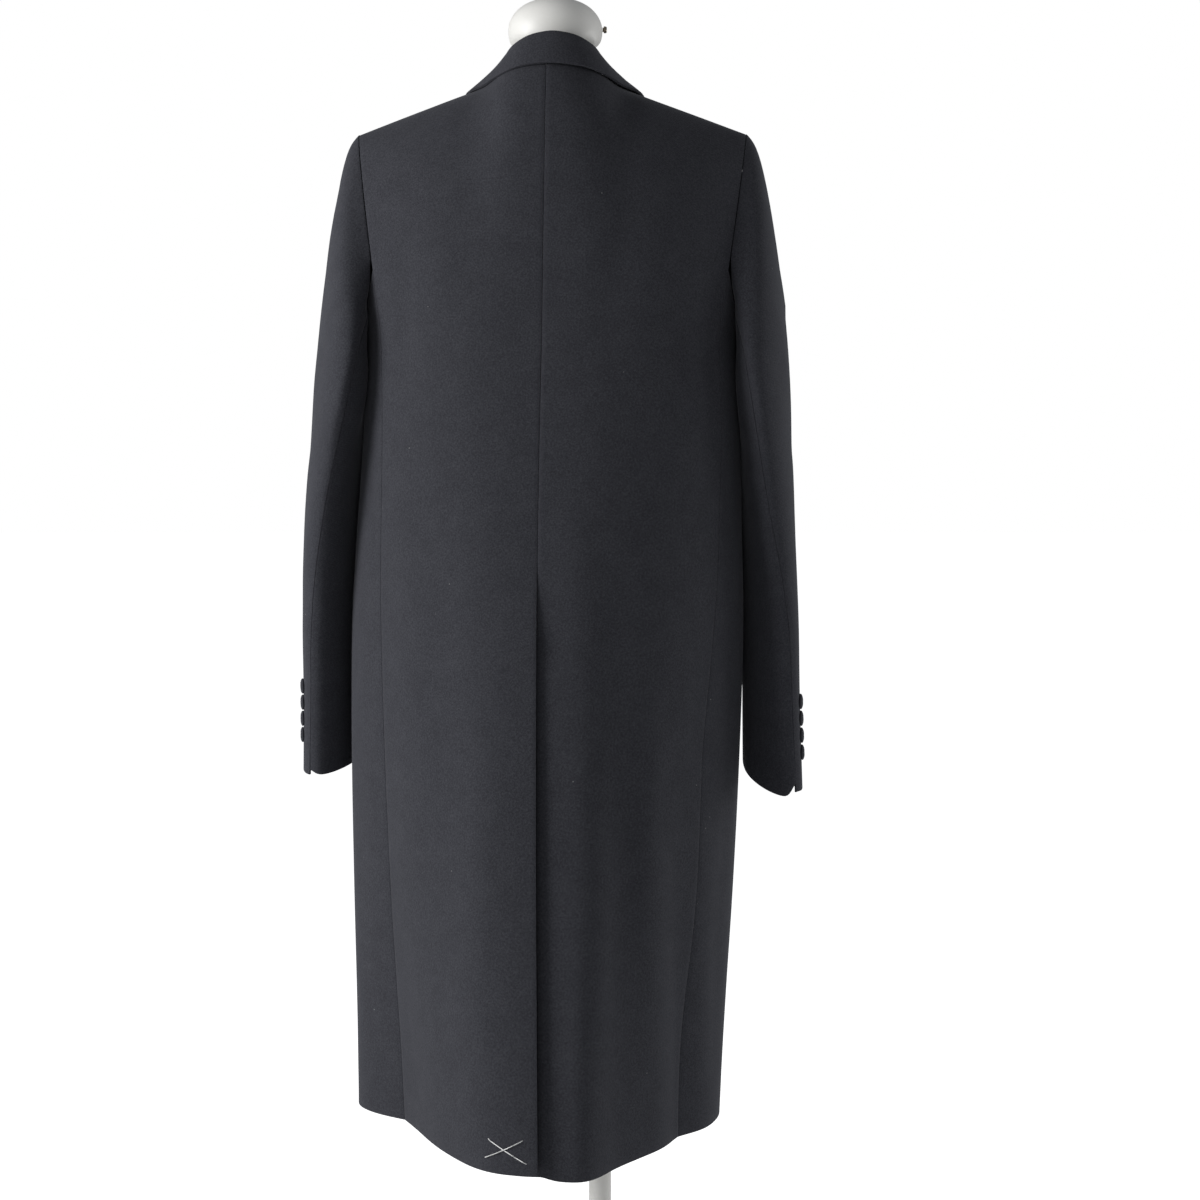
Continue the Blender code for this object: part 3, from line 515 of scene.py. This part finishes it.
def easeArmhole(points):
    height = smoothStep(*armholeEase["bottom"], points[:, 2])
    height *= 1.0 - smoothStep(*armholeEase["top"], points[:, 2])
    nearSeam = smoothStep(*armholeEase["across"], points[:, 0])
    inFront = smoothStep(*armholeEase["depth"], points[:, 1])
    points[:, 0] += armholeEase["shift"] * height * nearSeam * inFront


def liftCorner(points, node):
    x, y, z, rise, reach = cornerLifts[node]
    apart = (points[:, 0] - x) ** 2 + (points[:, 1] - y) ** 2
    fade = 1.0 - smoothStep(z + cornerFade[0], z + cornerFade[1], points[:, 2])
    points[:, 2] += rise * np.exp(-apart / reach ** 2) * fade


def coatMiddle(points):
    return np.tile(np.array((*coat["middle"], 0.0)), (len(points), 1))


sleeveMiddles = {  # height, across, depth of a sleeve's middle
    "left": ((0.70, 0.2825, -0.060), (0.80, 0.2812, -0.046), (0.90, 0.2812, -0.030),
             (1.00, 0.2785, -0.014), (1.10, 0.2715, -0.004), (1.25, 0.2580, 0.000), (1.38, 0.2450, 0.000)),
    "right": ((0.70, -0.1788, -0.012), (0.80, -0.1770, -0.012), (0.90, -0.1765, -0.010),
              (1.00, -0.1750, -0.006), (1.10, -0.1715, -0.002), (1.25, -0.1580, 0.000),
              (1.38, -0.1450, 0.000)),
}


def sleeveMiddle(points, word):
    rows = np.array(sleeveMiddles[word])
    middle = np.zeros_like(points)
    for axis in (0, 1):
        middle[:, axis] = np.interp(points[:, 2], rows[:, 0], rows[:, axis + 1])
    return middle


def wrapUv(mesh, points, middle, girth):  # the weave follows the cloth round and down
    away = points - middle
    facing = away[:, :2].sum(axis=0)
    lead = math.atan2(facing[0], facing[1])
    turn = (np.arctan2(away[:, 0], away[:, 1]) - lead + math.pi) % math.tau - math.pi
    uv = np.stack((turn * girth, points[:, 2] - 0.5 * np.abs(points[:, 1])), axis=1)
    layer = mesh.uv_layers.new(name="weave")
    corners = np.zeros(len(mesh.loops), dtype=np.int64)
    mesh.loops.foreach_get("vertex_index", corners)
    layer.data.foreach_set("uv", uv[corners].astype(np.float32).ravel())


def pieceName(kind, node):
    return kind + "".join(word.capitalize() for word in node.split("_"))


def makeCloth(node, levels):
    piece = newPiece(pieceName("cloth", node), refine(nodeShape(node), levels), woolCloth)
    mesh = piece.data
    points = np.zeros(len(mesh.vertices) * 3)
    mesh.vertices.foreach_get("co", points)
    points = points.reshape(-1, 3)
    if node.startswith("sleeve"):
        word = node.split("_")[-1]
        middle, creases = sleeveMiddle(points, word), sleeveCreases[word]
        girth = coat["sleeveWeaveGirth"]
    else:
        middle, creases = coatMiddle(points), bodyCreases
        girth = coat["weaveGirth"]
    outward = points - middle
    outward[:, 2] = coat["outwardRise"]
    outward /= np.linalg.norm(outward, axis=1, keepdims=True)
    wrapUv(mesh, points, middle, girth)
    points += outward * creaseShift(points, middle, creases + lapCreases.get(node, ()))[:, None]
    points += np.array(coat["tucks"].get(node, (0.0, 0.0, 0.0)))
    if node.startswith("sleeve"):
        pressSleeve(points, middle, word)
    if node in cornerLifts:
        liftCorner(points, node)
    if node.endswith(armholeEase["side"]) and not node.startswith(("lapel", "pocket")):
        easeArmhole(points)
    mesh.vertices.foreach_set("co", points.ravel())
    mesh.update()
    return piece


cloths = {}
for node, (hangsFrom, width, length, area, edge) in coat["panels"].items():
    piece = cloths[node] = makeCloth(node, coat["finer"])
    softBevel(piece, edge)
    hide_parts(node)
    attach(piece, "root")
print("cloth made")


buttons = {
    "finer": 2,
    "rimAngle": 85.0,
    "weaveGirth": 0.006,
    "cuffs": ("left", "right"),
    "perCuff": 4,
    "front": 3,
    "sewnDown": 0.0016,  # a cuff button's thread draws it into the nap
}


def makeButton(node):
    shape = refine(nodeShape(node), buttons["finer"], buttons["rimAngle"])
    piece = newPiece(pieceName("covered", node), shape, buttonCloth)
    points = np.array([vertex.co for vertex in piece.data.vertices])
    centre = np.tile(points.mean(axis=0), (len(points), 1))
    wrapUv(piece.data, points, centre, buttons["weaveGirth"])
    if node.startswith("cuff"):
        inward = (sleeveMiddle(centre, node.split("_")[2]) - centre)[0] * (1.0, 1.0, 0.0)
        points += inward / np.linalg.norm(inward) * buttons["sewnDown"]
        piece.data.vertices.foreach_set("co", points.ravel())
        piece.data.update()
    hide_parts(node)
    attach(piece, "root")
    return piece


for word in buttons["cuffs"]:
    for k in range(buttons["perCuff"]):
        makeButton(f"cuff_button_{word}_{k + 1}")
for k in range(buttons["front"]):
    makeButton(f"front_button_{k + 1}")
print("buttons made")


tack = {
    "threadRadius": 0.00045,
    "sides": 8,
    "steps": 12,
    "lift": 0.0003,
    "crossRise": 0.00054,  # the second stitch lies over the first
    "endDepth": 0.0010,
    # each stitch from (across, height) to (across, height) on the left back
    "stitches": (((0.1064, 0.4077), (0.0672, 0.3866)), ((0.1092, 0.3887), (0.0712, 0.4090))),
}


def onBack(x, z):  # where the left back's outer face lies, seen from behind
    _, place, normal, _ = cloths["back_left"].ray_cast(Vector((x, 0.5, z)), Vector((0, -1, 0)))
    return place, normal


def makeStitch(name, start, end, lift):
    shape = bmesh.new()
    path = []
    for k in range(tack["steps"] + 1):
        share = k / tack["steps"]
        place, normal = onBack(start[0] + (end[0] - start[0]) * share, start[1] + (end[1] - start[1]) * share)
        rise = lift + tack["threadRadius"] if 0 < k < tack["steps"] else -tack["endDepth"]
        path.append(place + normal * rise)
    along = (path[-1] - path[0]).normalized()
    circle = bmesh.ops.create_circle(shape, cap_ends=True, radius=tack["threadRadius"],
                                     segments=tack["sides"])
    turn = along.to_track_quat("Z", "Y").to_matrix().to_4x4()
    bmesh.ops.transform(shape, matrix=Matrix.Translation(path[0]) @ turn, verts=circle["verts"])
    face = shape.faces[:][0]
    for before, after in zip(path, path[1:]):
        grown = bmesh.ops.extrude_face_region(shape, geom=[face])
        verts = [item for item in grown["geom"] if isinstance(item, bmesh.types.BMVert)]
        face = next(item for item in grown["geom"] if isinstance(item, bmesh.types.BMFace))
        bmesh.ops.translate(shape, vec=after - before, verts=verts)
    bmesh.ops.recalc_face_normals(shape, faces=shape.faces)
    return newPiece(name, shape, tackThread)


for k, (start, end) in enumerate(tack["stitches"]):
    stitch = makeStitch(f"tackStitch{k + 1}", start, end, tack["lift"] + k * tack["crossRise"])
    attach(stitch, "root")
print("tack made")


studio = {
    "floorSize": 24.0,
    "floorColor": (0.86, 0.86, 0.86),
    # the floor glows this strongly to camera rays, so it looks as pale as the backdrop
    "floorGlowSeen": 0.84,
    # every other ray sees a faint floor glow, a painted bounce light on the coat from below
    "floorGlow": 0.12,
    "floorUneven": 0.98,
    "backdrop": (1.0, 1.0, 1.0),
    "fill": 0.24,
    "fillColor": (0.96, 0.98, 1.0),
    "lights": (  # name, place, size, watts
        ("keyLight", (2.15, 0.92, 1.50), 1.3, 47.0),
        ("rimLight", (-2.2, -0.50, 1.05), 1.2, 13.0),
    ),
    "aim": (0.05, 0.0, 0.95),
    "cameraPlace": (0.0, 2.15, 1.0536),
    "lens": 62.02,
    "shiftY": -0.125,
}


def makeFloor():
    shape = bmesh.new()
    bmesh.ops.create_grid(shape, x_segments=1, y_segments=1, size=studio["floorSize"])
    material, tree, shader = startMaterial("floorPaint", 0.8)
    skin = useGroup(tree, mottleGroup, {"Fine Scale": 60.0, "Broad Scale": 1.0})
    pale = studio["floorColor"]
    darker = tuple(studio["floorUneven"] * channel for channel in pale)
    color = colorRamp(tree, skin.outputs["Tone"], ((0.3, darker), (0.7, pale)))
    tree.links.new(color, shader.inputs["Base Color"])
    path = addNode(tree, "ShaderNodeLightPath")
    seen = mathNode(tree, "MULTIPLY", path.outputs["Is Camera Ray"], studio["floorGlowSeen"])
    glow = mathNode(tree, "MAXIMUM", seen, studio["floorGlow"])
    tree.links.new(glow, shader.inputs["Emission Color"])  # the floor glows: as pale as the backdrop to the camera, and a faint painted bounce light on the coat from below
    shader.inputs["Emission Strength"].default_value = 1.0
    shader.inputs["Specular IOR Level"].default_value = 0.1
    floor = newPiece("floor", shape, material, smooth=False)


def makeWorld():
    world = bpy.data.worlds.new("studio")
    bpy.context.scene.world = world
    world.use_nodes = True
    tree = world.node_tree
    tree.nodes.clear()
    seen, unseen = (addNode(tree, "ShaderNodeBackground") for _ in range(2))
    seen.inputs["Color"].default_value = (*studio["backdrop"], 1.0)
    unseen.inputs["Color"].default_value = (*studio["fillColor"], 1.0)
    unseen.inputs["Strength"].default_value = studio["fill"]
    path = addNode(tree, "ShaderNodeLightPath")
    mix = addNode(tree, "ShaderNodeMixShader")
    tree.links.new(path.outputs["Is Camera Ray"], mix.inputs["Fac"])
    tree.links.new(unseen.outputs[0], mix.inputs[1])
    tree.links.new(seen.outputs[0], mix.inputs[2])
    output = addNode(tree, "ShaderNodeOutputWorld")
    tree.links.new(mix.outputs[0], output.inputs["Surface"])


def makeLights():
    for name, place, size, watts in studio["lights"]:
        light = bpy.data.lights.new(name, "AREA")
        light.shape = "DISK"
        light.size = size
        light.energy = watts
        lamp = bpy.data.objects.new(name, light)
        bpy.context.scene.collection.objects.link(lamp)
        lamp.location = place
        lamp.rotation_euler = (Vector(studio["aim"]) - Vector(place)).to_track_quat("-Z", "Y").to_euler()


def makeCamera():
    lens = bpy.data.cameras.new("camera")
    lens.sensor_width = 36.0
    lens.lens = studio["lens"]
    lens.shift_y = studio["shiftY"]
    lens.clip_start = 0.05
    camera = bpy.data.objects.new("camera", lens)
    bpy.context.scene.collection.objects.link(camera)
    camera.location = studio["cameraPlace"]
    camera.rotation_euler = (math.radians(90.0), 0.0, math.radians(180.0))
    bpy.context.scene.camera = camera


makeFloor()
makeWorld()
makeLights()
makeCamera()
bpy.context.scene.view_settings.view_transform = "Standard"
print("studio made")
